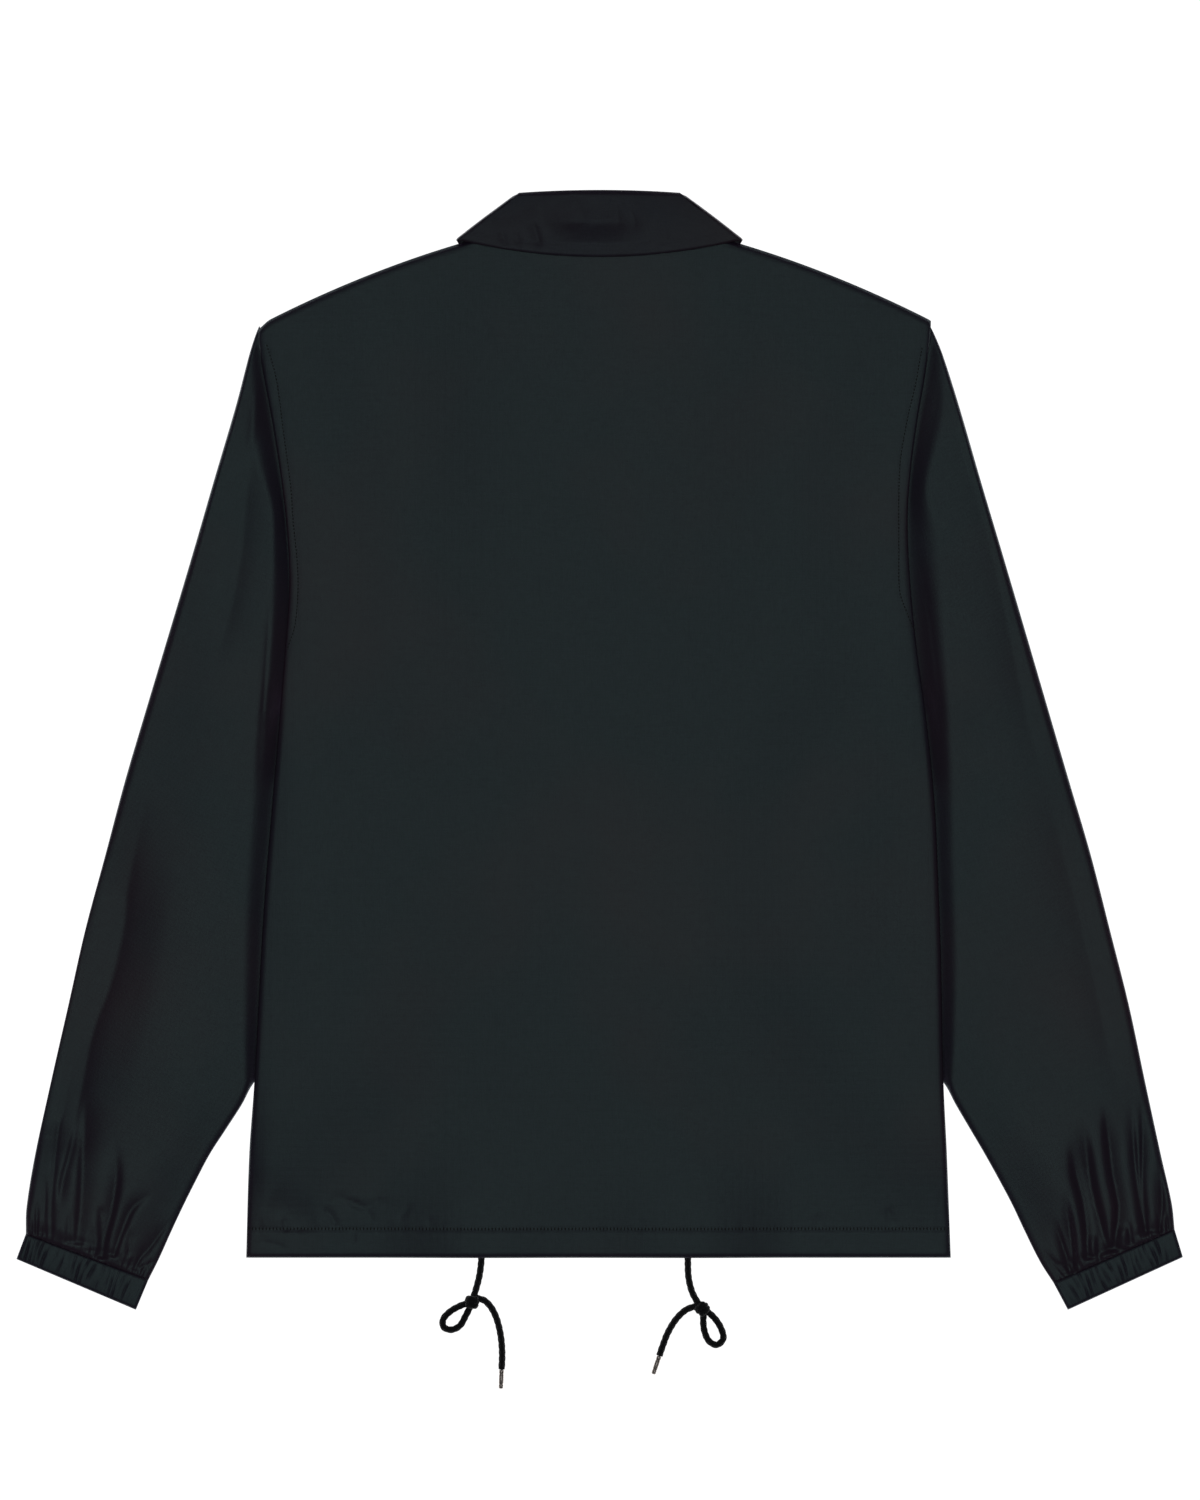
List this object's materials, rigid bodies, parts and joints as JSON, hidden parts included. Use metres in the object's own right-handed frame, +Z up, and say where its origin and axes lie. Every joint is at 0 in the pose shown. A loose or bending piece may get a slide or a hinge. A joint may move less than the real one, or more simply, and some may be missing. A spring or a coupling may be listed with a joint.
{
  "type": "lightweight jacket",
  "caption": "Unlined snap-front nylon jacket laid face down, with a turned-down collar, gathered elastic cuffs and a drawcord in the hem.",
  "frame": {"origin": "on the surface that the jacket lies on, under the middle of its length and width", "axes": "+X across the back towards the wearer's right sleeve, +Y from the hem to the collar, +Z up out of the back"},
  "size_m": [0.8054, 0.8257, 0.0087],
  "materials": {
    "nylon": "satin",
    "braid": "matte",
    "metal": "satin",
    "snap": "satin"
  },
  "bodies": {
    "root": {"back": "nylon", "front_left": "nylon", "front_right": "nylon", "collar": "nylon", "collar_stand": "nylon", "sleeve_left": "nylon", "sleeve_right": "nylon", "cuff_left": "nylon", "cuff_right": "nylon", "snap_cap_1": "snap", "snap_stud_1": "metal", "snap_cap_2": "snap", "snap_stud_2": "metal", "snap_cap_3": "snap", "snap_stud_3": "metal", "snap_cap_4": "snap", "snap_stud_4": "metal", "snap_cap_5": "snap", "snap_stud_5": "metal", "snap_cap_6": "snap", "snap_stud_6": "metal", "eyelet_left": "metal", "cord_lead_left": "braid", "cord_loop_left": "braid", "cord_tail_left": "braid", "cord_knot_left": "braid", "cord_tip_left": "metal", "eyelet_right": "metal", "cord_lead_right": "braid", "cord_loop_right": "braid", "cord_tail_right": "braid", "cord_knot_right": "braid", "cord_tip_right": "metal"}
  },
  "joints": []
}
